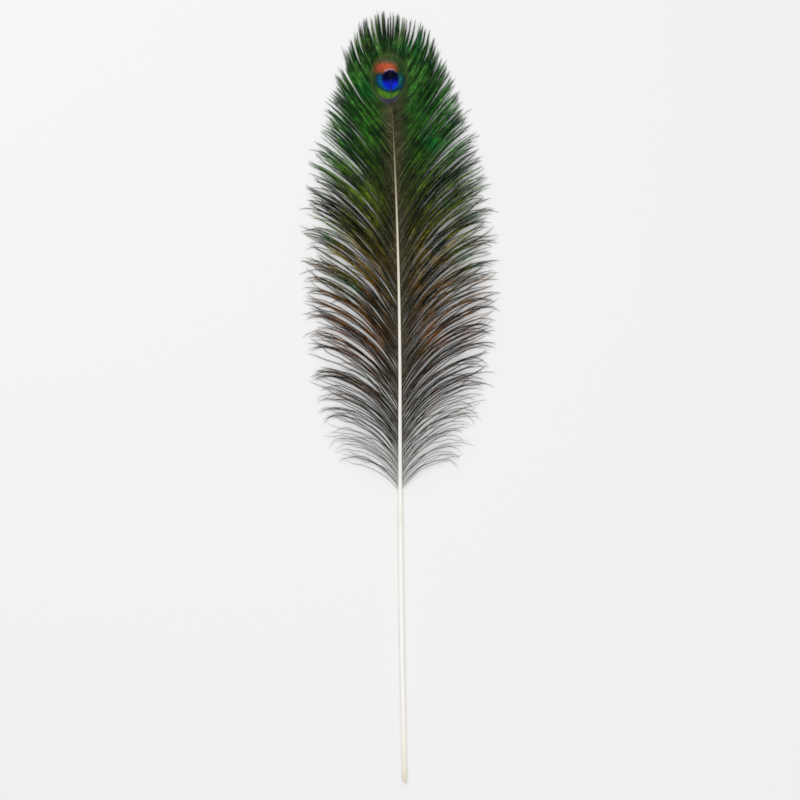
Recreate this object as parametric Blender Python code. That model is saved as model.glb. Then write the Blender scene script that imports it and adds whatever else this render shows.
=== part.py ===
"""A peacock's tail feather, lying face up on the surface that it rests on.

The feather grew as one piece, so it is one solid: the tapering shaft with its bare lower part, the knit
vane round the eye, and the barbs on both sides, which are gathered here into locks that reach as far as
the real barbs do. The frame is in metres. The origin is on the flat underside of the shaft at half the
feather's length, +Y runs to the eye, +X to the feather's right and +Z up from the surface.
"""

import math

import bmesh
import bpy
import numpy as np
from mathutils import Vector

# Driving dimensions
FEATHER_LENGTH = 0.800
BARE_LENGTH = 0.305
EYE_BELOW_TIP = 0.064
SHAFT_PAST_EYE = 0.010
LEAN_AT_EYE = -0.010
LEAN_AT_QUILL = 0.005
LIFT_AT_EYE = 0.0022

# Places along the feather, which follow from them
QUILL_Y = -FEATHER_LENGTH / 2
TIP_Y = FEATHER_LENGTH / 2
EYE_Y = TIP_Y - EYE_BELOW_TIP
SHAFT_END_Y = EYE_Y + SHAFT_PAST_EYE
FIRST_BARB_Y = QUILL_Y + BARE_LENGTH
LIFT_FROM_Y = 0.10

# Half the shaft's width at shares of its length, from the quill's end to the eye
SHAFT_HALF_WIDTHS = (
    (0.000, 0.00120),
    (0.006, 0.00185),
    (0.020, 0.00225),
    (0.100, 0.00245),
    (0.300, 0.00235),
    (0.420, 0.00215),
    (0.540, 0.00180),
    (0.750, 0.00125),
    (0.900, 0.00080),
    (1.000, 0.00045),
)
SHAFT_RINGS = 36
SHAFT_SIDES = 12
UNDERSIDE = -0.80  # the flat underside's height below the centre, as a share of the half width
UNDERSIDE_HALF = 0.62  # half the flat's width, likewise

# How barbs leave the shaft and where they end, at shares of the feathered length: the angle from the
# shaft at the root and at the tip, in degrees, the length, and how high the barb arches on its way
BARB_KEYS = (
    (0.00, 34.0, 98.0, 0.070, 0.0035),
    (0.08, 31.0, 94.0, 0.102, 0.0045),
    (0.25, 28.0, 82.0, 0.128, 0.0055),
    (0.48, 26.0, 68.0, 0.136, 0.0055),
    (0.66, 26.0, 52.0, 0.121, 0.0045),
    (0.76, 32.0, 42.0, 0.104, 0.0030),
    (0.84, 44.0, 24.0, 0.090, 0.0016),
    (0.91, 50.0, 8.0, 0.082, 0.0010),
    (0.96, 40.0, 4.0, 0.072, 0.0008),
    (1.00, 3.0, 0.0, 0.054, 0.0005),
)
BEND_EASE = 1.25  # above 1, a barb bends more towards its tip

# The locks of barbs
LOOSE_SHARE = 0.82
LOOSE_LOCKS = 26
HEAD_LOCKS = 12
LOCK_STEPS = 8
LOCK_THICKNESS = 0.0015
LOCK_TIP_THICKNESS = 0.0009
LOCK_WIDTHS = ((0.00, 0.0026), (0.20, 0.0054), (0.60, 0.0086), (0.90, 0.0056), (1.00, 0.0016))
LOCK_TIP_HEIGHT = 0.0006
LOCK_EXTRA = 0.08  # how much longer than a usual barb a lock is at the lowest barbs; at the tip it is none
LOCK_ARCH = 1.10  # how much higher it arches
LOCK_SWING = 3.0  # degrees that neighbours differ by, so that the locks don't look combed

# The knit vane round the eye
VANE_HALF_WIDTH = 0.034
VANE_HALF_LENGTH = 0.042
VANE_THICKNESS = 0.0017
VANE_EDGE_THICKNESS = 0.0009
VANE_DROOP = 0.0008
VANE_SIDES = 36

VANE_COLOUR = (0.030, 0.075, 0.035, 1.0)


def eased_value(keys, at, column=1):
    """One column of a table of keys, read between its rows."""
    return float(np.interp(at, [key[0] for key in keys], [key[column] for key in keys]))


def lean(y):
    """How far to the right the shaft lies at y: straight in the middle, bent gently at both ends."""
    if y > 0:
        return LEAN_AT_EYE * (y / EYE_Y) ** 2
    return LEAN_AT_QUILL * (y / QUILL_Y) ** 2


def half_width(y):
    """Half the shaft's width at y."""
    share = (y - QUILL_Y) / (SHAFT_END_Y - QUILL_Y)
    return eased_value(SHAFT_HALF_WIDTHS, min(max(share, 0.0), 1.0))


def lift(y):
    """How far the shaft's underside is off the surface at y. Only its upper end rises."""
    share = max(0.0, (y - LIFT_FROM_Y) / (EYE_Y - LIFT_FROM_Y))
    return LIFT_AT_EYE * share * share


def shaft_centre(y):
    """The shaft's centre at y. The quill narrows to its end round its centre, off the surface."""
    widest = max(half_width(y), half_width(QUILL_Y + 0.02) if y < QUILL_Y + 0.02 else 0.0)
    return Vector((lean(y), y, lift(y) - UNDERSIDE * widest))


def shaft_profile():
    """The shaft's cross-section for a half width of 1: round, with a flat underside."""
    points = []
    for corner in range(SHAFT_SIDES):
        turn = 2 * math.pi * (corner + 0.5) / SHAFT_SIDES
        across, up = math.cos(turn), math.sin(turn)
        if up < UNDERSIDE:
            across, up = math.copysign(UNDERSIDE_HALF, across), UNDERSIDE
        points.append((across, up))
    return points


def add_object(name, mesh_builder, helper=False):
    """A new object in the scene from the bmesh that mesh_builder fills."""
    mesh = bpy.data.meshes.new(name)
    shape = bmesh.new()
    mesh_builder(shape)
    bmesh.ops.recalc_face_normals(shape, faces=shape.faces)
    shape.to_mesh(mesh)
    shape.free()
    made = bpy.data.objects.new(name, mesh)
    bpy.context.scene.collection.objects.link(made)
    if helper:
        made.hide_render = True
        made.display_type = "WIRE"
    return made


def skin_rings(shape, rings):
    """Closes a row of equal rings of points into a solid with flat ends."""
    loops = [[shape.verts.new(point) for point in ring] for ring in rings]
    sides = len(loops[0])
    for low, high in zip(loops, loops[1:]):
        for corner in range(sides):
            after = (corner + 1) % sides
            shape.faces.new((low[corner], low[after], high[after], high[corner]))
    shape.faces.new(reversed(loops[0]))
    shape.faces.new(loops[-1])


def shaft_places():
    """Where the shaft's rings stand: close together at the quill's rounded end."""
    ends = [QUILL_Y + share * (SHAFT_END_Y - QUILL_Y) for share, _ in SHAFT_HALF_WIDTHS[:3]]
    return ends + list(np.linspace(ends[-1], SHAFT_END_Y, SHAFT_RINGS - 2))[1:]


def build_shaft(shape):
    """The shaft from the quill's end to past the eye's centre."""
    profile = shaft_profile()
    rings = []
    for y in shaft_places():
        centre, half = shaft_centre(y), half_width(y)
        rings.append([centre + Vector((across * half, 0, up * half)) for across, up in profile])
    skin_rings(shape, rings)


def root_y(share):
    """Where on the shaft a barb stands, for its share of the feathered length."""
    return FIRST_BARB_Y + share * (SHAFT_END_Y - FIRST_BARB_Y)


def lock_path(share, side, number):
    """The centre line of one lock: out from inside the shaft, arching up and down to its tip."""
    start = math.radians(eased_value(BARB_KEYS, share, 1))
    end = math.radians(eased_value(BARB_KEYS, share, 2) + LOCK_SWING * math.sin(2.4 * number))
    length = eased_value(BARB_KEYS, share, 3) * (1 + LOCK_EXTRA * (1 - share))
    y = root_y(share)
    point = shaft_centre(y) + Vector((side * 0.3 * half_width(y), 0, 0))
    root_height = point.z
    arch = LOCK_ARCH * eased_value(BARB_KEYS, share, 4)
    path = []
    for step in range(LOCK_STEPS + 1):
        along = step / LOCK_STEPS
        rise = root_height + (LOCK_TIP_HEIGHT - root_height) * along + 4 * arch * along * (1 - along)
        path.append(Vector((point.x, point.y, rise)))
        angle = start + (end - start) * (along + 0.5 / LOCK_STEPS) ** BEND_EASE
        point = point + Vector((side * math.sin(angle), math.cos(angle), 0)) * length / LOCK_STEPS
    return path


def lock_builder(path):
    """A function that builds one lock: a slim blade, diamond-shaped across."""

    def build(shape):
        rings = []
        for step, centre in enumerate(path):
            along = step / LOCK_STEPS
            before, after = path[max(step - 1, 0)], path[min(step + 1, LOCK_STEPS)]
            run = (after - before).normalized()
            across = run.cross(Vector((0, 0, 1))).normalized()
            up = across.cross(run)
            wide = eased_value(LOCK_WIDTHS, along) / 2
            thick = (LOCK_THICKNESS + (LOCK_TIP_THICKNESS - LOCK_THICKNESS) * along) / 2
            rings.append([centre + across * wide, centre + up * thick, centre - across * wide, centre - up * thick])
        skin_rings(shape, rings)

    return build


def lock_shares():
    """The places of one side's locks, as shares of the feathered length."""
    loose = [LOOSE_SHARE * step / LOOSE_LOCKS for step in range(LOOSE_LOCKS)]
    head = [LOOSE_SHARE + (0.995 - LOOSE_SHARE) * step / (HEAD_LOCKS - 1) for step in range(HEAD_LOCKS)]
    return loose + head


def build_vane(shape):
    """The knit vane: a thin oval lens whose rim droops a little."""
    height = shaft_centre(EYE_Y).z

    def ring(reach, thick, drop):
        points = []
        for corner in range(VANE_SIDES):
            turn = 2 * math.pi * (corner + 0.5) / VANE_SIDES
            x = lean(EYE_Y) + reach * VANE_HALF_WIDTH * math.cos(turn)
            y = EYE_Y + reach * VANE_HALF_LENGTH * math.sin(turn)
            points.append(Vector((x, y, height - drop + thick)))
        return points

    half, edge = VANE_THICKNESS / 2, VANE_EDGE_THICKNESS / 2
    skin_rings(
        shape,
        [
            ring(0.5, -half, 0.25 * VANE_DROOP),
            ring(1.0, -edge, VANE_DROOP),
            ring(1.0, edge, VANE_DROOP),
            ring(0.5, half, 0.25 * VANE_DROOP),
        ],
    )


def keratin():
    """The dark green of the barbs, with the soft gloss of keratin."""
    material = bpy.data.materials.new("barb_keratin")
    material.use_nodes = True
    shader = material.node_tree.nodes["Principled BSDF"]
    shader.inputs["Base Color"].default_value = VANE_COLOUR
    shader.inputs["Roughness"].default_value = 0.55
    shader.inputs["Metallic"].default_value = 0.0
    return material


def main():
    """Builds the feather and grows its vane and locks into its shaft."""
    for old in list(bpy.data.objects):
        bpy.data.objects.remove(old)
    grown = bpy.data.collections.new("grown_from_the_shaft")
    feather = add_object("peacock_feather", build_shaft)
    feather.data.materials.append(keratin())
    parts = [add_object("knit_vane", build_vane, helper=True)]
    for side, name in ((-1, "left"), (1, "right")):
        for number, share in enumerate(lock_shares()):
            stagger = 0.25 * LOOSE_SHARE / LOOSE_LOCKS * (1 + side) if share < LOOSE_SHARE else 0.002 * (1 + side)
            path = lock_path(min(share + stagger, 0.998), side, number + 0.5 * side)
            parts.append(add_object(f"{name}_lock_{number:02d}", lock_builder(path), helper=True))
    for part in parts:
        bpy.context.scene.collection.objects.unlink(part)
        grown.objects.link(part)
    union = feather.modifiers.new("grown_together", "BOOLEAN")
    union.operation = "UNION"
    union.solver = "EXACT"
    union.operand_type = "COLLECTION"
    union.collection = grown
    feather.data.shade_smooth()
    feather.data.set_sharp_from_angle(angle=math.radians(40))


main()
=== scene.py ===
"""One peacock feather, lying face up and seen from straight above.

The shaft is modelled as by hand from a drawn profile. The barbs stand along the same centre lines as the
locks of the frame: each has a tapering core and two rows of barbules, and round the eye they are knit
into one web. The rings of the eye are a pattern on the place of each point, so that they run across the
barbs as on the real feather.
"""

import logging
import math
from collections.abc import Callable
from dataclasses import dataclass, field
from enum import Enum

import bmesh
import bpy
import numpy as np
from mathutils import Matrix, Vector


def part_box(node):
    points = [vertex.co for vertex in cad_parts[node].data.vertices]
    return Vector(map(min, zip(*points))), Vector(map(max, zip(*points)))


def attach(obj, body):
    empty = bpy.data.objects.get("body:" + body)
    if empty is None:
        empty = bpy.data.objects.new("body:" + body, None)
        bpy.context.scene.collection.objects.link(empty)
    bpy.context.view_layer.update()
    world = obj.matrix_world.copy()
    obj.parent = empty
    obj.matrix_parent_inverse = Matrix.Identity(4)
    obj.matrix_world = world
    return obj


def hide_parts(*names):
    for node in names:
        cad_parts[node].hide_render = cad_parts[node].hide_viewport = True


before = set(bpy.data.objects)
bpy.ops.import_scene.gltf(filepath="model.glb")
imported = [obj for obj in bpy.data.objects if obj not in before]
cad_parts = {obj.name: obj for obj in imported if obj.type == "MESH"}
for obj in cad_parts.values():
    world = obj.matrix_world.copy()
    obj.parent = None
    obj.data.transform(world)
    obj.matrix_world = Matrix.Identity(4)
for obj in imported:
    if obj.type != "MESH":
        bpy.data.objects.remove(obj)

log = logging.getLogger("feather")
Colour = tuple[float, float, float, float]

NODE = "peacock_feather"
BODY = "root"
BAKE_MAP = "OFBake"
UP = np.array([0.0, 0.0, 1.0])
# What the barbs' meshes hold at each vertex, and how many numbers each takes
VERTEX_VALUES = {"along": 1, "across": 1, "tone": 1, "flash": 1, "shift": 3}


class Side(Enum):
    """The two sides of the shaft, seen from above with the eye away from the viewer."""

    LEFT = -1
    RIGHT = 1


class Slot(Enum):
    """The record's material slots."""

    BARBS = "barbs"
    SHAFT = "shaft"
    EYE = "eye"


def srgb(*screen: float) -> Colour:
    """The linear, opaque colour for red, green and blue from 0 to 255 as a screen shows them."""
    shares = [part / 255 for part in screen]
    return (*(part / 12.92 if part <= 0.04045 else ((part + 0.055) / 1.055) ** 2.4 for part in shares), 1.0)


def stops(*rows: tuple[float, ...]) -> tuple[tuple[float, Colour], ...]:
    """A ramp's stops, from rows of a place and its red, green and blue."""
    return tuple((place, srgb(*colour)) for place, *colour in rows)


def read_keys(keys: tuple, at: np.ndarray | float, column: int = 1) -> np.ndarray | float:
    """Reads one column of a table between its rows, which start with the place they stand at."""
    return np.interp(at, [key[0] for key in keys], [key[column] for key in keys])


@dataclass(frozen=True)
class FeatherPlan:
    """Where the feather lies: the frame's own sizes, which every piece is built on."""

    quill_y: float
    tip_y: float
    bare_length: float = 0.305
    eye_below_tip: float = 0.064
    shaft_past_eye: float = 0.010
    lean_at_eye: float = -0.010
    lean_at_quill: float = 0.005
    lift_at_eye: float = 0.0022
    lift_from_y: float = 0.10
    underside: float = 0.80
    rounded_end: float = 0.02
    # Share of the shaft's length and half its width there
    half_widths: tuple = (
        (0.000, 0.00120), (0.006, 0.00185), (0.020, 0.00225), (0.100, 0.00245), (0.300, 0.00235),
        (0.420, 0.00215), (0.540, 0.00180), (0.750, 0.00125), (0.900, 0.00080), (1.000, 0.00045),
    )

    @classmethod
    def from_frame(cls) -> "FeatherPlan":
        """Reads the feather's two ends from the frame."""
        low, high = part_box(NODE)
        return cls(quill_y=low.y, tip_y=high.y)

    @property
    def eye_y(self) -> float:
        """How far up the eye's centre is."""
        return self.tip_y - self.eye_below_tip

    @property
    def shaft_end_y(self) -> float:
        """Where the shaft ends, a little past the eye's centre."""
        return self.eye_y + self.shaft_past_eye

    @property
    def first_barb_y(self) -> float:
        """Where the bare part of the shaft ends."""
        return self.quill_y + self.bare_length

    @property
    def feathered_length(self) -> float:
        """The length of shaft that bears barbs."""
        return self.shaft_end_y - self.first_barb_y

    def lean(self, y: np.ndarray | float) -> np.ndarray | float:
        """How far to the right the shaft lies at y."""
        up = self.lean_at_eye * (np.maximum(y, 0) / self.eye_y) ** 2
        return up + self.lean_at_quill * (np.minimum(y, 0) / self.quill_y) ** 2

    def half_width(self, y: np.ndarray | float) -> np.ndarray | float:
        """Half the shaft's width at y."""
        share = (np.asarray(y) - self.quill_y) / (self.shaft_end_y - self.quill_y)
        return read_keys(self.half_widths, np.clip(share, 0, 1))

    def lift(self, y: np.ndarray | float) -> np.ndarray | float:
        """How far the shaft's underside is off the surface at y."""
        share = np.maximum(0, (np.asarray(y) - self.lift_from_y) / (self.eye_y - self.lift_from_y))
        return self.lift_at_eye * share * share

    def centre_height(self, y: np.ndarray | float) -> np.ndarray | float:
        """How high the shaft's centre is, which doesn't sink towards the quill's rounded end.

        Args:
            y: Where along the feather.

        Returns:
            The height.
        """
        whole_y = self.quill_y + self.rounded_end
        least = np.where(np.asarray(y) < whole_y, self.half_width(whole_y), 0)
        return self.lift(y) + self.underside * np.maximum(self.half_width(y), least)


def deselect_all() -> None:
    """Leaves edit mode and deselects every object."""
    if bpy.context.object and bpy.context.object.mode != "OBJECT":
        bpy.ops.object.mode_set(mode="OBJECT")
    bpy.ops.object.select_all(action="DESELECT")


def choose(piece: bpy.types.Object) -> None:
    """Makes a piece the only selected and the active object.

    Args:
        piece: The object to work on.
    """
    deselect_all()
    piece.select_set(True)
    bpy.context.view_layer.objects.active = piece


def select_points(piece: bpy.types.Object, wanted: Callable[[Vector], bool]) -> None:
    """Selects vertices by their place, in edit mode.

    Args:
        piece: The object that is being edited.
        wanted: Says for a place whether its vertex is wanted.
    """
    bpy.ops.mesh.select_mode(type="VERT")
    bpy.ops.mesh.select_all(action="DESELECT")
    shape = bmesh.from_edit_mesh(piece.data)
    for vertex in shape.verts:
        vertex.select_set(wanted(vertex.co))
    shape.select_flush_mode()
    bmesh.update_edit_mesh(piece.data)


def dress(piece: bpy.types.Object, material: bpy.types.Material) -> None:
    """Gives a finished piece its material and its place on the frame.

    Args:
        piece: The finished piece.
        material: Its only material.
    """
    piece.data.materials.clear()
    piece.data.materials.append(material)
    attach(piece, BODY)
    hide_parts(NODE)
    log.info("%s: %d triangles", piece.name, sum(len(face.vertices) - 2 for face in piece.data.polygons))


@dataclass
class NodeBoard:
    """A node tree with short calls for the nodes that the finishes use."""

    tree: bpy.types.NodeTree

    def feed(self, socket: bpy.types.NodeSocket, source: object) -> None:
        """Feeds one socket.

        Args:
            socket: The socket to feed.
            source: Another socket to link it to, or a plain value.
        """
        if isinstance(source, bpy.types.NodeSocket):
            self.tree.links.new(source, socket)
        else:
            socket.default_value = source

    def add(self, kind: str, *sources: object, **values: object) -> bpy.types.Node:
        """Adds a node, sets its properties and feeds its inputs.

        Args:
            kind: The node's type name.
            *sources: What its inputs take, in order: sockets or plain values.
            **values: Its properties by name.

        Returns:
            The new node.
        """
        node = self.tree.nodes.new(kind)
        for name, value in values.items():
            setattr(node, name, value)
        for socket, source in zip(node.inputs, sources):
            self.feed(socket, source)
        return node

    def math(self, operation: str, *sources: object) -> bpy.types.NodeSocket:
        """One step of arithmetic on sockets or numbers."""
        return self.add("ShaderNodeMath", *sources, operation=operation).outputs[0]

    def vector(self, operation: str, *sources: object) -> bpy.types.NodeSocket:
        """One step of vector arithmetic on sockets or triples."""
        return self.add("ShaderNodeVectorMath", *sources, operation=operation).outputs[0]

    def scaled(self, colour: object, value: object) -> bpy.types.NodeSocket:
        """A colour made darker by a value under 1 and lighter by one over 1."""
        zero = (0.0, 0.0, 0.0)
        return self.add("ShaderNodeVectorMath", colour, zero, zero, value, operation="SCALE").outputs[0]

    def split(self, point: object) -> bpy.types.NodeOutputs:
        """A point's three coordinates."""
        return self.add("ShaderNodeSeparateXYZ", point).outputs

    def mix(self, factor: object, first: object, second: object) -> bpy.types.NodeSocket:
        """Mixes two colours.

        Args:
            factor: How much of the second colour shows.
            first: The lower colour.
            second: The upper colour.

        Returns:
            The mixed colour's socket.
        """
        node = self.add("ShaderNodeMix", factor, data_type="RGBA")
        self.feed(node.inputs[6], first)
        self.feed(node.inputs[7], second)
        return node.outputs[2]

    def spread(self, value: object, *ends: float) -> bpy.types.NodeSocket:
        """Maps a value smoothly: from low, from high, and then to low and to high, or to 0 and 1."""
        return self.add("ShaderNodeMapRange", value, *ends, interpolation_type="SMOOTHSTEP").outputs[0]

    def share_of(self, value: object, low: float, high: float) -> bpy.types.NodeSocket:
        """How far a value is from low to high, from 0 to 1."""
        return self.add("ShaderNodeMapRange", value, low, high).outputs[0]

    def ramp(self, value: object, stops: tuple[tuple[float, Colour], ...]) -> bpy.types.NodeSocket:
        """Colours along a value.

        Args:
            value: From 0 to 1.
            stops: Places and their colours, in order.

        Returns:
            The colour's socket.
        """
        node = self.add("ShaderNodeValToRGB", value)
        line = node.color_ramp
        line.interpolation = "B_SPLINE" if len(stops) > 4 else "LINEAR"
        for number, (place, colour) in enumerate(stops):
            stop = line.elements[number] if number < 2 else line.elements.new(place)
            stop.position = place
            stop.color = colour
        return node.outputs[0]

    def noise(self, point: object, scale: float, *fine: float, output: str = "Fac") -> bpy.types.NodeSocket:
        """Clouds from 0 to 1, so many to the metre, then how many finer layers they have and how strong."""
        return self.add("ShaderNodeTexNoise", point, 0.0, scale, *fine).outputs[output]

    def attribute(self, name: str, output: str = "Fac") -> bpy.types.NodeSocket:
        """What the mesh holds at each vertex by that name."""
        return self.add("ShaderNodeAttribute", attribute_name=name).outputs[output]

    def group(self, tree: bpy.types.NodeTree, **sources: object) -> bpy.types.NodeOutputs:
        """Places a shader group.

        Args:
            tree: The group's tree.
            **sources: Its inputs, with _ for a space in their names.

        Returns:
            The group's outputs.
        """
        node = self.add("ShaderNodeGroup", node_tree=tree)
        for name, source in sources.items():
            self.feed(node.inputs[name.replace("_", " ")], source)
        return node.outputs


def new_group(
    name: str, takes: dict[str, str], gives: dict[str, str]
) -> tuple[NodeBoard, bpy.types.NodeOutputs, bpy.types.NodeInputs]:
    """Starts a shader group with named inputs and outputs.

    Args:
        name: The group's name.
        takes: The kind of each input by name: Float, Vector or Color.
        gives: The kind of each output by name.

    Returns:
        The board to build on, the sockets that hold the inputs and those that take the outputs.
    """
    tree = bpy.data.node_groups.new(name, "ShaderNodeTree")
    for in_out, sockets in (("INPUT", takes), ("OUTPUT", gives)):
        for socket, kind in sockets.items():
            tree.interface.new_socket(name=socket, in_out=in_out, socket_type=f"NodeSocket{kind}")
    board = NodeBoard(tree)
    return board, board.add("NodeGroupInput").outputs, board.add("NodeGroupOutput").inputs


def new_material(name: str) -> tuple[bpy.types.Material, NodeBoard, bpy.types.NodeInputs]:
    """Starts a material with a Principled BSDF.

    Args:
        name: The material's name.

    Returns:
        The material, its board and its shader's inputs.
    """
    material = bpy.data.materials.new(name)
    material.use_nodes = True
    return material, NodeBoard(material.node_tree), material.node_tree.nodes["Principled BSDF"].inputs


@dataclass(frozen=True)
class Ring:
    """One ring of the eye: an oval placed from the eye's centre, all in millimetres.

    Where it doesn't show whole, fade says at what height it is gone and at what height it is full. Its colour
    may turn to a second one between two heights, and slant tips that line.
    """

    name: str
    right: float
    up: float
    half_width: float
    half_height: float
    softness: float
    colour: Colour
    fade: tuple[float, float] | None = None
    second: Colour | None = None
    turn: tuple[float, float] = (0.0, 1.0)
    slant: float = 0.0


@dataclass(frozen=True)
class EyePattern:
    """The eye's rings, from its green rim in to its dark heart."""

    centre: tuple[float, float]
    rings: tuple[Ring, ...] = (
        Ring("rim", -1.6, 0.2, 21.0, 27.2, 0.16, srgb(20, 58, 22)),
        Ring("gold", -1.6, 0.4, 19.8, 25.8, 0.12, srgb(88, 104, 54)),
        Ring("bronze", -1.6, 0.2, 18.2, 24.2, 0.14, srgb(48, 75, 35)),
        Ring("violet", -1.4, -16.0, 9.8, 11.4, 0.22, srgb(74, 66, 88), (-13, -21)),
        Ring("lime", -2.2, -10.4, 12.2, 10.6, 0.13, srgb(84, 138, 34), (-5, -15)),
        Ring("coral", -5.2, 9.6, 10.2, 9.2, 0.60, srgb(190, 84, 56), (3, 9), srgb(116, 104, 74), (13, 19)),
        Ring("teal", 0.4, -2.2, 15.8, 12.8, 0.13, srgb(6, 36, 44), (7, 1)),
        Ring("azure", 0.0, -1.9, 13.4, 10.6, 0.26, srgb(16, 98, 154), (8, 1), srgb(32, 98, 92), (-5, 4), 0.7),
        # A thin pale pink band at the heart's top, under the coral cap: a painted highlight
        Ring("painted_highlight", -1.0, 0.4, 9.8, 9.4, 0.10, srgb(192, 156, 162), (6, 8.5)),
        Ring("disc", 0.0, -1.6, 9.0, 10.2, 0.12, srgb(14, 42, 204), None, srgb(3, 6, 92), (-7, 0.5)),
        Ring("heart", -0.6, 3.0, 7.2, 4.6, 0.50, srgb(1, 2, 30)),
    )
    ragged: float = 1.5
    ragged_patches: float = 240.0
    mottle_patches: float = 520.0
    metal: float = 0.35

    @staticmethod
    def oval_group() -> bpy.types.NodeTree:
        """Makes the shader group that says how far inside an oval a point is.

        Returns:
            The group, which puts out 1 inside the oval and 0 outside.
        """
        sizes = dict.fromkeys(("Right", "Up", "Half Width", "Half Height", "Softness"), "Float")
        board, given, made = new_group("oval_mask", {"Point": "Vector", **sizes}, {"Mask": "Float"})
        squares = []
        across, height, _ = board.split(given["Point"])
        for place, middle, half in ((across, "Right", "Half Width"), (height, "Up", "Half Height")):
            share = board.math("DIVIDE", board.math("SUBTRACT", place, given[middle]), given[half])
            squares.append(board.math("MULTIPLY", share, share))
        reach = board.math("SQRT", board.math("ADD", *squares))
        edge = board.math("DIVIDE", board.math("SUBTRACT", 1.0, reach), given["Softness"])
        board.feed(made["Mask"], board.spread(edge, -1.0, 1.0))
        return board.tree

    def group(self) -> bpy.types.NodeTree:
        """Makes the shader group of the whole eye.

        Returns:
            The group, which puts out the eye's colour, where it covers the barbs and how metallic it is.
        """
        board, given, made = new_group(
            "eye_rings", {"Point": "Vector"}, {"Color": "Color", "Mask": "Float", "Metal": "Float"}
        )
        oval = self.oval_group()
        place = given["Point"]
        from_centre = (-1000 * self.centre[0], -1000 * self.centre[1], 0)
        in_mm = board.vector("MULTIPLY_ADD", place, (1000, 1000, 0), from_centre)
        cloud = board.noise(place, self.ragged_patches, output="Color")
        swing = self.ragged
        ragged = board.vector("MULTIPLY_ADD", cloud, (2 * swing, 2 * swing, 0.0), (-swing, -swing, 0.0))
        point = board.vector("ADD", in_mm, ragged)
        across, height, _ = board.split(point)
        masks, colour = {}, self.rings[0].colour
        for ring in self.rings:
            shown = masks[ring.name] = board.group(
                oval,
                Point=point,
                Right=ring.right,
                Up=ring.up,
                Half_Width=ring.half_width,
                Half_Height=ring.half_height,
                Softness=ring.softness,
            )[0]
            if ring.fade:
                shown = board.math("MULTIPLY", shown, board.spread(height, *ring.fade))
            tint = ring.colour
            if ring.second:
                line = board.math("MULTIPLY_ADD", across, ring.slant, height)
                tint = board.mix(board.spread(line, *ring.turn), tint, ring.second)
            colour = board.mix(shown, colour, tint)
        mottle = board.spread(board.noise(place, self.mottle_patches, 3.0, 0.7), 0.3, 0.7, 0.8, 1.15)
        board.feed(made["Color"], board.scaled(colour, mottle))
        board.feed(made["Mask"], masks["rim"])
        board.feed(made["Metal"], board.math("MULTIPLY", masks["azure"], self.metal))
        return board.tree


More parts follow.
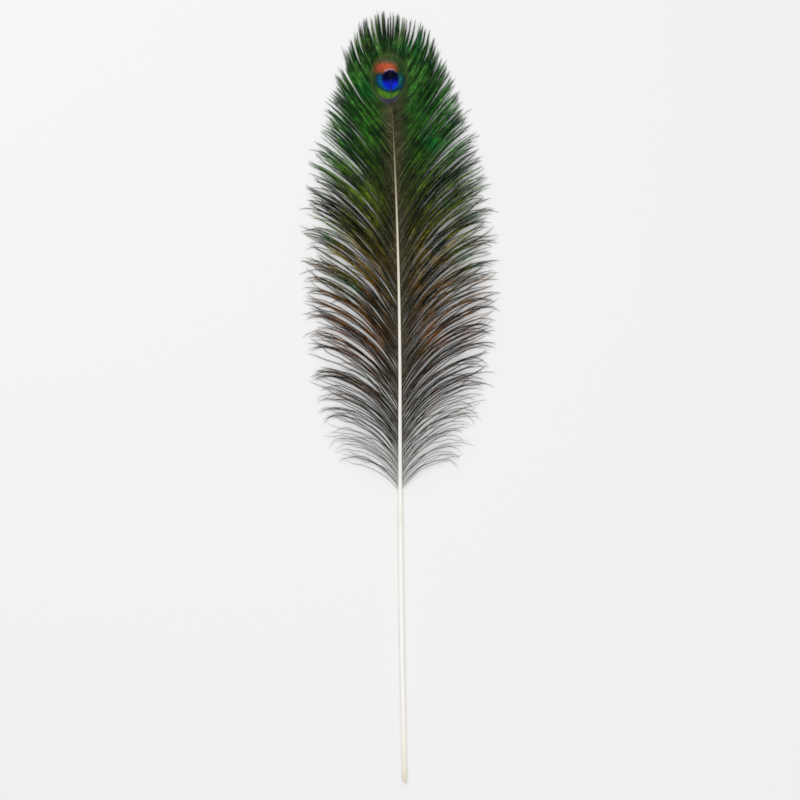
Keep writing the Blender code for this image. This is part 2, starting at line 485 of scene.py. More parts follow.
@dataclass(frozen=True)
class BarbColours:
    """The barbs' colours outside the eye, from the lowest wisps up to the fringe at the tip."""

    # Share of the way from the lowest barb to the tip, and the colour there
    shade: tuple = stops(
        (0.00, 62, 54, 48), (0.08, 26, 22, 20), (0.20, 10, 10, 9), (0.36, 7, 10, 5), (0.52, 9, 18, 6),
        (0.68, 9, 34, 9), (0.78, 11, 62, 18), (0.90, 18, 66, 24), (1.00, 16, 50, 22),
    )
    glint: tuple = stops(
        (0.00, 110, 100, 88), (0.16, 52, 46, 30), (0.34, 128, 66, 18), (0.50, 120, 98, 20),
        (0.66, 78, 122, 24), (0.80, 50, 134, 40), (0.92, 88, 148, 66), (1.00, 108, 122, 78),
    )
    emerald: Colour = srgb(6, 112, 48)
    dun: Colour = srgb(46, 44, 24)
    inner: Colour = srgb(28, 26, 16)
    core_root: Colour = srgb(122, 114, 84)
    core_middle: Colour = srgb(62, 68, 38)
    core_tip: Colour = srgb(22, 24, 16)
    fringe: Colour = srgb(54, 52, 40)
    # Patches to the metre of each cloudy effect
    glint_patches: float = 46.0
    dun_patches: float = 58.0
    emerald_patches: float = 21.0
    value_patches: float = 170.0
    # How far the streaks of tone and painted highlight differ from barb to barb, and how many there are along
    # one
    streak_step: float = 40.0
    streaks: float = 13.0

    def group(self, plan: FeatherPlan) -> bpy.types.NodeTree:
        """Makes the shader group that colours barbules and cores outside the eye.

        Args:
            plan: Where the feather lies.

        Returns:
            The group, which puts out the strand's colour.
        """
        kinds = dict.fromkeys(("Along", "Across", "Tone", "Flash"), "Float")
        board, given, made = new_group("barb_colours", {"Point": "Vector", **kinds}, {"Color": "Color"})
        point, along, tone = given["Point"], given["Along"], given["Tone"]
        height = board.share_of(board.split(point)[1], plan.first_barb_y, plan.tip_y)
        # Glints in patches over the shade, with dun and emerald clouds
        patch = board.noise(point, self.glint_patches, 4.0, 0.65)
        shine = board.spread(board.math("MULTIPLY_ADD", given["Flash"], 0.14, patch), 0.37, 0.68)
        colour = board.mix(shine, board.ramp(height, self.shade), board.ramp(height, self.glint))
        dun = board.noise(point, self.dun_patches, 3.0, 0.6)
        colour = board.mix(board.spread(dun, 0.52, 0.70, 0.0, 0.6), colour, self.dun)
        green = board.spread(board.noise(point, self.emerald_patches, 1.0), 0.56, 0.72)
        green = board.math("MULTIPLY", green, board.spread(height, 0.2, 0.7, 0.12, 0.6))
        colour = board.mix(green, colour, self.emerald)
        # Dull near the shaft, with pale cores that darken outwards
        colour = board.mix(board.spread(along, 0.04, 0.42, 0.85, 0.0), colour, self.inner)
        core = board.ramp(along, ((0.00, self.core_root), (0.30, self.core_middle), (1.00, self.core_tip)))
        bare = board.spread(given["Across"], 0.02, 0.26, 1.0, 0.0)
        pale = board.math("MULTIPLY", bare, board.spread(along, 0.0, 0.9, 0.85, 0.25))
        colour = board.mix(pale, colour, core)
        colour = board.mix(board.spread(along, 0.955, 1.0, 0.0, 0.7), colour, self.fringe)
        # Lighter and darker from barb to barb, in streaks along each, and in clouds
        # From barb to barb and along each, this is partly random tone and partly painted highlight streaks
        own_place = board.add("ShaderNodeCombineXYZ", tone, along).outputs[0]
        own_place = board.vector("MULTIPLY", own_place, (self.streak_step, self.streaks, 0.0))
        streak = board.spread(board.noise(own_place, 1.0, 3.0, 0.7), 0.32, 0.68, 0.45, 1.7)
        cloud = board.spread(board.noise(point, self.value_patches, 3.0, 0.7), 0.35, 0.65, 0.78, 1.28)
        value = board.math("MULTIPLY_ADD", board.math("MULTIPLY", tone, tone), 1.15, 0.5)
        value = board.math("MULTIPLY", board.math("MULTIPLY", cloud, streak), value)
        board.feed(made["Color"], board.scaled(colour, value))
        return board.tree


@dataclass(frozen=True)
class KeratinFinish:
    """The satin keratin of barbs: one material for each way that they catch the light."""

    name: str
    roughness: float
    metallic: float
    specular: float
    speckle: float = 0.07
    speckle_patches: float = 900.0

    def material(self, colours: bpy.types.NodeTree, eye: bpy.types.NodeTree) -> bpy.types.Material:
        """Makes the material.

        Args:
            colours: The group that colours strands outside the eye.
            eye: The group of the eye's rings.

        Returns:
            The material.
        """
        material, board, shader = new_material(self.name)
        point = board.add("ShaderNodeTexCoord").outputs["Object"]
        values = {name.title(): board.attribute(name) for name in ("along", "across", "tone", "flash")}
        strand = board.group(colours, Point=point, **values)[0]
        rings = board.group(eye, Point=board.vector("ADD", point, board.attribute("shift", "Vector")))
        # The eye's colour scaled by each strand's tone: partly random, partly painted highlight, and painted
        # shade on the web's creases
        lit = board.scaled(rings["Color"], board.math("MULTIPLY_ADD", values["Tone"], 0.5, 0.8))
        board.feed(shader["Base Color"], board.mix(rings["Mask"], strand, lit))
        speckle = board.noise(point, self.speckle_patches, 2.0)
        rough = (self.roughness - self.speckle, self.roughness + self.speckle)
        board.feed(shader["Roughness"], board.spread(speckle, 0.3, 0.7, *rough))
        board.feed(shader["Metallic"], board.math("ADD", rings["Metal"], self.metallic))
        board.feed(shader["Specular IOR Level"], self.specular)
        return material


@dataclass(frozen=True)
class ShaftFinish:
    """The shaft's keratin: ivory where it is bare, beige and then grey-brown towards the eye."""

    name: str = "shaft_keratin"
    # Share of the shaft's length and the colour there
    tones: tuple = stops(
        (0.00, 226, 214, 186), (0.02, 244, 238, 222), (0.10, 253, 252, 248), (0.50, 252, 250, 245),
        (0.66, 246, 241, 231), (0.78, 216, 206, 184), (0.87, 128, 120, 88), (0.93, 58, 54, 40),
        (1.00, 20, 30, 26),
    )
    stain: Colour = srgb(206, 188, 150)
    roughness: tuple[float, float] = (0.34, 0.50)
    specular: float = 0.25
    # Patches to the metre across the shaft, and the share of them along it
    streaks: tuple[float, float] = (1500.0, 0.035)
    mottle: tuple[float, float] = (90.0, 0.3)
    ridge_strength: float = 0.35
    ridge_height: float = 0.0002

    def material(self, plan: FeatherPlan, eye: bpy.types.NodeTree) -> bpy.types.Material:
        """Makes the material.

        Args:
            plan: Where the feather lies.
            eye: The group of the eye's rings.

        Returns:
            The material.
        """
        material, board, shader = new_material(self.name)
        point = board.add("ShaderNodeTexCoord").outputs["Object"]
        height = board.share_of(board.split(point)[1], plan.quill_y, plan.shaft_end_y)
        streak, mottle = (
            board.noise(board.vector("MULTIPLY", point, (1.0, along, 1.0)), across, 3.0, 0.6)
            for across, along in (self.streaks, self.mottle)
        )
        tone = board.ramp(height, self.tones)
        tone = board.mix(board.spread(mottle, 0.52, 0.80, 0.0, 0.14), tone, self.stain)
        tone = board.mix(board.spread(streak, 0.35, 0.75, 0.0, 0.08), tone, self.stain)
        rings = board.group(eye, Point=point)
        tone = board.mix(rings["Mask"], tone, board.scaled(rings["Color"], 0.5))
        board.feed(shader["Base Color"], tone)
        board.feed(shader["Roughness"], board.spread(streak, 0.3, 0.7, *self.roughness))
        board.feed(shader["Specular IOR Level"], self.specular)
        bump = board.add("ShaderNodeBump")
        bump.inputs["Strength"].default_value = self.ridge_strength
        bump.inputs["Distance"].default_value = self.ridge_height
        board.feed(bump.inputs["Height"], streak)
        board.feed(shader["Normal"], bump.outputs[0])
        return material


@dataclass(frozen=True)
class BarbShape:
    """How the barbs are set on the shaft, bent, and covered in barbules."""

    # Share of the feathered length, angle from the shaft at root and tip in degrees, length and arch. Past
    # share 1 the barbs fan out from the shaft's very end.
    bends: tuple = (
        (0.00, 34.0, 98.0, 0.070, 0.0035),
        (0.08, 31.0, 94.0, 0.102, 0.0045),
        (0.25, 28.0, 82.0, 0.128, 0.0055),
        (0.48, 26.0, 68.0, 0.136, 0.0055),
        (0.66, 26.0, 52.0, 0.121, 0.0045),
        (0.76, 32.0, 42.0, 0.104, 0.0030),
        (0.84, 44.0, 24.0, 0.090, 0.0016),
        (0.91, 50.0, 8.0, 0.082, 0.0010),
        (0.96, 40.0, 4.0, 0.072, 0.0008),
        (1.00, 7.0, 1.0, 0.056, 0.0005),
        (1.01, 0.0, 0.0, 0.053, 0.0005),
    )
    # Share, gap between barbs, gap between barbules, barbule length, how unruly the barb is, how wide its
    # core is against the widest, and a barbule's width at its foot
    growth: tuple = (
        (0.00, 0.00160, 0.00090, 0.0017, 1.35, 0.42, 0.00024),
        (0.06, 0.00138, 0.00092, 0.0018, 1.25, 0.52, 0.00030),
        (0.16, 0.00130, 0.00098, 0.0024, 1.05, 0.80, 0.00054),
        (0.50, 0.00124, 0.00098, 0.0029, 0.85, 0.95, 0.00074),
        (0.75, 0.00108, 0.00093, 0.0026, 0.60, 0.95, 0.00074),
        (0.84, 0.00077, 0.00082, 0.0018, 0.30, 0.92, 0.00064),
        (1.01, 0.00064, 0.00082, 0.0016, 0.14, 0.90, 0.00060),
    )
    # Share, how far a tuft's outer barbs lean to its middle in degrees, and how much tufts differ in length
    tufting: tuple = ((0.00, 2.0, 0.02), (0.75, 2.0, 0.025), (0.88, 2.9, 0.04), (1.01, 3.6, 0.05))
    last_share: float = 1.01
    bend_ease: float = 1.25
    reach: float = 0.104
    tip_height: float = 0.0006
    steps: int = 28
    ripples: float = 2.2
    flutters: float = 4.6
    # Share of a barb's length, half its core's width and half its depth
    core: tuple = (
        (0.0, 0.00034, 0.00020),
        (0.3, 0.00046, 0.00015),
        (0.8, 0.00032, 0.00010),
        (1.0, 0.00008, 0.00006),
    )
    barbule_depth: float = 0.00012
    barbule_angle: float = 31.0
    # Where a barb's first barbule stands, how much of the barb they cover, and how they crowd to its tip
    first_barbule: float = 0.015
    barbule_cover: float = 0.98
    barbule_crowding: float = 0.8
    # Share of a barb's length, the barbules' angle there and their length, against the greatest
    barbule_taper: tuple = (
        (0.00, 1.00, 0.4500),
        (0.12, 1.00, 1.0000),
        (0.75, 1.00, 1.0000),
        (0.80, 1.00, 0.9375),
        (0.95, 0.55, 0.7500),
        (1.00, 0.40, 0.2000),
    )
    lowest: float = 0.00006


@dataclass
class StrandPile:
    """Vertices, triangles and vertex values of many strands that become one mesh."""

    points: list = field(default_factory=list)
    triangles: list = field(default_factory=list)
    maps: list = field(default_factory=list)
    values: dict = field(default_factory=lambda: {name: [] for name in VERTEX_VALUES})
    count: int = 0

    def add(self, points: np.ndarray, triangles: np.ndarray, places: np.ndarray, **values: object) -> None:
        """Adds some vertices and the triangles between them.

        Args:
            points: Vertex places.
            triangles: Vertex numbers, from 0 for the first of these points.
            places: Where each vertex stands on the bake's map.
            **values: For each of VERTEX_VALUES, one for each vertex or one for all.
        """
        self.points.append(points)
        self.triangles.append(triangles + self.count)
        self.maps.append(places)
        for name, width in VERTEX_VALUES.items():
            numbers = np.reshape(values[name], (-1, width))
            self.values[name].append(np.broadcast_to(numbers, (len(points), width)))
        self.count += len(points)

    def make(self, name: str) -> bpy.types.Object:
        """Makes the joined mesh.

        Args:
            name: The new piece's name.

        Returns:
            The new piece.
        """
        points = np.concatenate(self.points).astype(np.float32)
        triangles = np.concatenate(self.triangles).astype(np.int32)
        mesh = bpy.data.meshes.new(name)
        mesh.vertices.add(len(points))
        mesh.vertices.foreach_set("co", points.ravel())
        mesh.loops.add(triangles.size)
        mesh.loops.foreach_set("vertex_index", triangles.ravel())
        mesh.polygons.add(len(triangles))
        mesh.polygons.foreach_set("loop_start", np.arange(0, triangles.size, 3, dtype=np.int32))
        mesh.update(calc_edges=True)
        for title, width in VERTEX_VALUES.items():
            kind, part = ("FLOAT", "value") if width == 1 else ("FLOAT_VECTOR", "vector")
            numbers = np.concatenate(self.values[title]).astype(np.float32)
            mesh.attributes.new(title, kind, "POINT").data.foreach_set(part, numbers.ravel())
        places = np.concatenate(self.maps).astype(np.float32)[triangles.ravel()]
        mesh.uv_layers.new(name=BAKE_MAP).uv.foreach_set("vector", places.ravel())
        mesh.validate()
        piece = bpy.data.objects.new(name, mesh)
        bpy.context.scene.collection.objects.link(piece)
        return piece


@dataclass
class Strand:
    """One barb as it lies: its centre line, the directions at each step, and its row on the bake's map."""

    path: np.ndarray
    share: float
    low: float
    high: float
    values: dict

    def __post_init__(self) -> None:
        """Works out the length and the directions along, beside and over the centre line."""
        self.length = float(np.linalg.norm(np.diff(self.path, axis=0), axis=1).sum())
        self.run = np.gradient(self.path, axis=0)
        self.run /= np.linalg.norm(self.run, axis=1)[:, None]
        self.out = np.cross(self.run, UP)
        self.out /= np.linalg.norm(self.out, axis=1)[:, None]
        self.over = np.cross(self.out, self.run)

    def read(self, spot: np.ndarray) -> list[np.ndarray]:
        """Reads the centre line and its directions between steps.

        Args:
            spot: Where, in steps from the root.

        Returns:
            The places, and the directions along, beside and over them.
        """
        cell = np.minimum(spot.astype(int), len(self.path) - 2)
        part = (spot - cell)[:, None]
        lines = (self.path, self.run, self.out, self.over)
        return [line[cell] * (1 - part) + line[cell + 1] * part for line in lines]

    def rows(self, shares: np.ndarray) -> np.ndarray:
        """Turns shares of half the barb's row, from its middle line, into places on the bake's map."""
        return (self.low + self.high) / 2 + (self.high - self.low) / 2 * shares


@dataclass
class Barbs:
    """All the barbs of one side, from the lowest wisps to the tip."""

    plan: FeatherPlan
    shape: BarbShape
    side: Side
    seed: int
    first_gap: float = 0.0005
    gap_range: tuple[float, float] = (0.75, 1.25)
    root_depth: float = 0.55
    tuft_sizes: tuple[int, int] = (4, 10)
    # The waves in which neighbours differ, as shares of the feathered length, and their swing in degrees
    flash_wave: float = 0.028
    swing_wave: float = 0.055
    swing: float = 4.5
    # Each is a sum of ever finer waves: their weights, how many times finer each is, and what divides the sum
    wave_weights: tuple[float, ...] = (1.0, 0.6, 0.4)
    finer: float = 1.87
    wave_sum: float = 1.3
    # How much single barbs differ: degrees at root and tip, then shares of length, of arch and of tip height
    stray_root: float = 3.0
    stray_tip: float = 9.0
    uneven: float = 0.032
    most_uneven: float = 0.07
    broken: float = 0.10
    broken_lengths: tuple[float, float] = (0.55, 0.9)
    arches: tuple[float, float] = (0.65, 1.15)
    tip_heights: tuple[float, float] = (0.5, 2.4)
    # Their bends in degrees: the curl at the tip, slow ripples, and a quicker flutter towards the tip
    curls: tuple[float, float] = (-38.0, 50.0)
    ripple_sizes: tuple[float, float] = (0.5, 4.5)
    flutter_sizes: tuple[float, float] = (0.0, 12.0)
    # How much single barbules differ in place, angle, length and lift
    barbule_stray: float = 0.3
    barbule_turn: float = 6.0
    barbule_sizes: tuple[float, float] = (0.8, 1.15)
    barbule_lift: tuple[float, float] = (-0.04, 0.10)
    # How far the eye's rings shift from barb to barb
    eye_jog: float = 0.00025

    def __post_init__(self) -> None:
        """Plants the barbs and works out their centre lines, tones and flashes."""
        self.random = np.random.default_rng(self.seed)
        self.shares = self.planted()
        self.paths = self.centre_lines()
        self.tones = self.random.uniform(0, 1, len(self.shares))
        self.flashes = self.drifting(self.flash_wave)

    def planted(self) -> np.ndarray:
        """Sets barb after barb along the shaft.

        Returns:
            Each barb's share of the feathered length.
        """
        shares, at = [], self.first_gap * (1.5 + self.side.value)
        while at < self.shape.last_share * self.plan.feathered_length:
            share = at / self.plan.feathered_length
            shares.append(share)
            at += float(read_keys(self.shape.growth, share)) * self.random.uniform(*self.gap_range)
        return np.array(shares)

    def drifting(self, wave: float) -> np.ndarray:
        """A value that drifts from barb to barb, so that neighbours lie in loose groups.

        Args:
            wave: The length of a typical group, as a share of the feathered length.

        Returns:
            One value for each barb, mostly between -1 and 1.
        """
        total = np.zeros(len(self.shares))
        for octave, weight in enumerate(self.wave_weights):
            turn = self.random.uniform(0, 2 * math.pi)
            total += weight * np.sin(2 * math.pi * self.shares / wave * self.finer**octave + turn)
        return total / self.wave_sum

    def tufts(self) -> tuple[np.ndarray, np.ndarray]:
        """Gathers neighbouring barbs in tufts of a few.

        Returns:
            Each barb's place in its tuft and a value that it shares with its tuft, both from -1 to 1.
        """
        random = np.random.default_rng(self.seed + 60)
        count = len(self.shares)
        places, shared = [], []
        while len(places) < count:
            size = int(random.integers(*self.tuft_sizes))
            places.extend(np.linspace(-1, 1, size))
            shared.extend([random.uniform(-1, 1)] * size)
        return np.array(places[:count]), np.array(shared[:count])

    def pick(self, low: float, high: float) -> np.ndarray:
        """A random value for each barb."""
        return self.random.uniform(low, high, len(self.shares))

    def centre_lines(self) -> np.ndarray:
        """Bends every barb.

        Returns:
            Places along each barb, by barb and step.
        """
        plan, shape, shares, steps = self.plan, self.shape, self.shares, self.shape.steps
        unruly = read_keys(shape.growth, shares, 4)
        start, end, length, arch = (read_keys(shape.bends, shares, column) for column in (1, 2, 3, 4))
        lean, differ = (read_keys(shape.tufting, shares, column) for column in (1, 2))
        start = np.radians(start + self.pick(-self.stray_root, self.stray_root) * unruly**2)
        swing = self.swing * self.drifting(self.swing_wave) + self.pick(-self.stray_tip, self.stray_tip)
        place, shared = self.tufts()
        end = np.radians(end + swing * unruly + lean * place)
        uneven = np.clip(self.random.normal(0, self.uneven, len(shares)), -self.most_uneven, self.most_uneven)
        length = length * (1 + (uneven * (0.8 + 0.4 * unruly) + differ * shared))
        broken = self.pick(0, 1) < self.broken * unruly
        length *= np.where(broken, self.pick(*self.broken_lengths), 1.0)
        arch = (arch * self.pick(*self.arches))[:, None]
        curl = (np.radians(self.pick(*self.curls)) * unruly**2)[:, None]
        ripple = (np.radians(self.pick(*self.ripple_sizes)) * unruly)[:, None]
        flutter = (np.radians(self.pick(*self.flutter_sizes)) * unruly**2)[:, None]
        phase = self.pick(0, 2 * math.pi)[:, None]
        middle = (np.arange(steps) + 0.5)[None, :] / steps
        angle = start[:, None] + (end - start)[:, None] * middle**shape.bend_ease
        angle += curl * np.clip((middle - 0.7) / 0.3, 0, 1) ** 2
        angle += ripple * np.sin(2 * math.pi * shape.ripples * middle + phase)
        angle += flutter * middle**2 * np.sin(2 * math.pi * shape.flutters * middle + 1.7 * phase)
        run = np.stack([self.side.value * np.sin(angle), np.cos(angle)], 2) * (length / steps)[:, None, None]
        run = np.cumsum(run, 1)
        # A barb that would stand out from the rest is drawn in to its neighbours' reach.
        run *= np.minimum(1, shape.reach / np.abs(run[:, :, 0]).max(1))[:, None, None]
        y = plan.first_barb_y + np.minimum(shares, 1) * plan.feathered_length
        beside = plan.lean(y) + self.side.value * self.root_depth * plan.half_width(y)
        root = np.stack([beside, y, plan.centre_height(y)], 1)
        paths = np.zeros((len(shares), steps + 1, 3))
        paths[:, :, :2] = root[:, None, :2]
        paths[:, 1:, :2] += run
        along = (np.arange(steps + 1) / steps)[None, :]
        tip = shape.tip_height * self.pick(*self.tip_heights)[:, None]
        rise = root[:, 2:] + (tip - root[:, 2:]) * along
        paths[:, :, 2] = np.maximum(rise + 4 * arch * along * (1 - along), shape.lowest * 3)
        return paths

    def core(self, pile: StrandPile, strand: Strand) -> None:
        """Adds a barb's core, a flat blade with a ridge above and below.

        Args:
            pile: The pile to add to.
            strand: The barb.
        """
        shape, path, steps = self.shape, strand.path, self.shape.steps
        along = np.arange(steps + 1) / steps
        thickness = read_keys(shape.growth, strand.share, 5)
        wide = read_keys(shape.core, along, 1)[:, None] * thickness * strand.out
        deep = read_keys(shape.core, along, 2)[:, None] * strand.over
        rings = np.stack([path + deep, path + wide, path - deep, path - wide], 1)
        rings[:, :, 2] = np.maximum(rings[:, :, 2], shape.lowest)
        first = 4 * np.arange(steps)
        faces = [np.array([[0, 2, 1], [0, 3, 2]]), 4 * steps + np.array([[0, 1, 2], [0, 2, 3]])]
        for corner in range(4):
            after = (corner + 1) % 4
            faces.append(np.stack([first + corner, first + after, first + after + 4], 1))
            faces.append(np.stack([first + corner, first + after + 4, first + corner + 4], 1))
        places = np.zeros((steps + 1, 4, 2))
        places[:, :, 0] = along[:, None]
        places[:, :, 1] = strand.rows(np.array([0.0, 0.32, 0.0, -0.32]))
        pile.add(
            rings.reshape(-1, 3),
            np.concatenate(faces),
            places.reshape(-1, 2),
            along=np.repeat(along, 4),
            across=np.tile([0.0, 0.6, 0.0, 0.6], steps + 1),
            **strand.values,
        )

    def barbules(self, pile: StrandPile, strand: Strand, side: int) -> None:
        """Adds one of a barb's two rows of barbules, each a slim closed spike.

        Args:
            pile: The pile to add to.
            strand: The barb.
            side: The side they stand on, -1 or 1.
        """
        shape, random = self.shape, self.random
        pitch, reach, foot_width = (read_keys(shape.growth, strand.share, column) for column in (2, 3, 6))
        count = int(strand.length / pitch)
        stray = random.uniform(-self.barbule_stray, self.barbule_stray, count)
        at = (np.arange(count) + 0.5 + stray) / count
        at = shape.first_barbule + shape.barbule_cover * at**shape.barbule_crowding
        foot, ahead, beside, above = strand.read(at * shape.steps)
        angle = np.radians(shape.barbule_angle + random.normal(0, self.barbule_turn, count))
        angle = (angle * read_keys(shape.barbule_taper, at, 1))[:, None]
        full = read_keys(shape.barbule_taper, at, 2)
        size = reach * full * random.uniform(*self.barbule_sizes, count)
        tilt = random.normal(*self.barbule_lift, count)[:, None]
        aim = ahead * np.cos(angle) + side * beside * np.sin(angle) + above * tilt
        half = foot_width / 2 * np.sqrt(full)[:, None]
        low = foot - above * shape.barbule_depth / 2
        a, b = low - ahead * half, low + ahead * half
        c, d = foot + above * shape.barbule_depth / 2, foot + aim * size[:, None]
        corners = np.stack([a, b, c, d], 1)
        corners[:, :, 2] = np.maximum(corners[:, :, 2], shape.lowest)
        a, b, c, d = (corners[:, corner] for corner in range(4))
        inside = (np.cross(b - a, c - a) * (d - a)).sum(1) < 0
        base = 4 * np.arange(count)[:, None]
        faces = base[:, None] + np.array([[0, 1, 3], [1, 2, 3], [2, 0, 3], [0, 2, 1]])[None]
        faces[inside] = faces[inside][:, :, ::-1]
        places = np.zeros((count, 4, 2))
        places[:, :, 0] = at[:, None] + np.array([-1, 1, 0, 2.4]) * half / strand.length
        places[:, :, 1] = strand.rows(np.array([0.38, 0.38, 0.35, 0.95]) * side)
        pile.add(
            corners.reshape(-1, 3),
            faces.reshape(-1, 3),
            np.clip(places.reshape(-1, 2), 0, 1),
            along=np.repeat(at, 4),
            across=np.tile([0.25, 0.25, 0.2, 1.0], count),
            **strand.values,
        )

    def pieces(self, bounds: tuple[float, ...], names: tuple[str, ...]) -> list[bpy.types.Object]:
        """Makes the side's meshes.

        Args:
            bounds: The shares between which each piece's barbs stand, in order.
            names: Each piece's name.

        Returns:
            The pieces.
        """
        made = []
        for low, high, name in zip(bounds, bounds[1:], names):
            numbers = np.flatnonzero((self.shares >= low) & (self.shares < high))
            pile = StrandPile()
            row = 1 / len(numbers)
            for place, number in enumerate(numbers):
                jog = (0.0, self.random.normal(0, self.eye_jog), 0.0)
                values = {"tone": self.tones[number], "flash": self.flashes[number], "shift": jog}
                path, share = self.paths[number], self.shares[number]
                strand = Strand(path, share, place * row, (place + 1) * row, values)
                self.core(pile, strand)
                for side in (-1, 1):
                    self.barbules(pile, strand, side)
            made.append(pile.make(f"{self.side.name.lower()}_{name}"))
        return made


@dataclass
class KnitWeb:
    """The web that the barbs round the eye form where their barbules hook together."""

    shape: BarbShape
    left: Barbs
    right: Barbs
    from_share: float = 0.66
    full_share: float = 0.87
    reach: float = 0.88
    least: float = 0.05
    waves: tuple = ((0.012, 260), (0.010, 611))
    fray: float = 0.06
    notch: float = 0.06
    widest_gap: float = 0.0017
    never_parted: float = 0.3
    columns: int = 14
    sag: float = 0.00010
    # How dark the sagging rows between barbs are against their barbs' tones: painted shade in the creases
    painted_crease_shade: float = 0.175
    drop: float = 0.00013
    thickness: float = 0.00012

    def edge(self, shares: np.ndarray) -> np.ndarray:
        """How far out along each barb the web reaches.

        Args:
            shares: Each barb's share of the feathered length.

        Returns:
            The shares of the barbs' lengths.
        """
        grown = np.clip((shares - self.from_share) / (self.full_share - self.from_share), 0, 1)
        wave = sum(size * np.sin(shares * pace) for size, pace in self.waves)
        return self.least + (self.reach - self.least) * grown**0.8 + wave * grown

    def sampled(self, path: np.ndarray, reach: float) -> np.ndarray:
        """Where the web's columns lie along one barb's centre line, out to a share of its length."""
        at = np.linspace(0, reach, self.columns) * self.shape.steps
        return np.stack([np.interp(at, np.arange(self.shape.steps + 1), line) for line in path.T], 1)

    def notch_end(self, first: np.ndarray, second: np.ndarray, reach: float) -> float:
        """Finds how far out two neighbouring barbs still hold together.

        Args:
            first: The centre line of one barb.
            second: The centre line of the next.
            reach: How far along them the web may go.

        Returns:
            The share of their length where the web between them ends.
        """
        gaps = np.linalg.norm(first - second, axis=1)
        parted = np.flatnonzero(gaps > self.widest_gap) / self.shape.steps
        parted = parted[parted > self.never_parted]
        return float(min([reach * (1 - self.notch), *parted]))

    def rows(self) -> tuple[np.ndarray, np.ndarray, np.ndarray]:
        """Samples the barbs in order, up the left side and down the right.

        Returns:
            The web's points by row and column, with a row on each barb and a sagging one between each two,
            each row's reach, and each row's tone, darkened on the sagging rows as painted shade in the
            creases.
        """
        paths, reaches, tones = [], [], []
        for barbs, turn in ((self.left, 1), (self.right, -1)):
            numbers = np.flatnonzero(barbs.shares >= self.from_share)[::turn]
            paths.extend(barbs.paths[numbers])
            reaches.extend(self.edge(barbs.shares[numbers]) * (1 - self.fray * barbs.tones[numbers]))
            tones.extend(barbs.tones[numbers])
        rows, full, tone = [self.sampled(paths[0], reaches[0])], [reaches[0]], [tones[0]]
        for number in range(1, len(paths)):
            before, path = paths[number - 1], paths[number]
            far = self.notch_end(before, path, min(reaches[number - 1], reaches[number]))
            between = (self.sampled(before, far) + self.sampled(path, far)) / 2
            between[:, 2] -= self.sag
            rows += [between, self.sampled(path, reaches[number])]
            full += [far, reaches[number]]
            # The sagging row between two barbs takes a darker tone: painted shade in the crease
            tone += [self.painted_crease_shade * (tones[number - 1] + tones[number]), tones[number]]
        return np.array(rows), np.array(full), np.array(tone)

    def piece(self) -> bpy.types.Object:
        """Makes the web, a thin sheet with a crease along each barb and a notch between each two.

        Returns:
            The new piece.
        """
        rows, full, tone = self.rows()
        rows[:, :, 2] = np.maximum(rows[:, :, 2] - self.drop, 2.5 * self.shape.lowest)
        along = full[:, None] * np.linspace(0, 1, self.columns)[None, :]
        starts = self.columns * np.arange(len(rows) - 1)[:, None]
        corner = (starts + np.arange(self.columns - 1)[None, :]).ravel()
        next_row = corner + self.columns
        faces = np.stack([corner, corner + 1, next_row + 1], 1)
        faces = np.concatenate([faces, np.stack([corner, next_row + 1, next_row], 1)])
        flat = rows.reshape(-1, 3)
        low, high = flat.min(0), flat.max(0)
        pile = StrandPile()
        pile.add(
            flat,
            faces[:, ::-1],
            (flat[:, :2] - low[:2]) / (high - low)[:2],
            along=along,
            across=0.6,
            tone=np.repeat(tone, self.columns),
            flash=0.3,
            shift=(0.0, 0.0, 0.0),
        )
        web = pile.make("knit_eye_web")
        solid = web.modifiers.new("thickness", "SOLIDIFY")
        solid.thickness = self.thickness
        solid.offset = -1.0
        choose(web)
        bpy.ops.object.modifier_apply(modifier=solid.name)
        return web


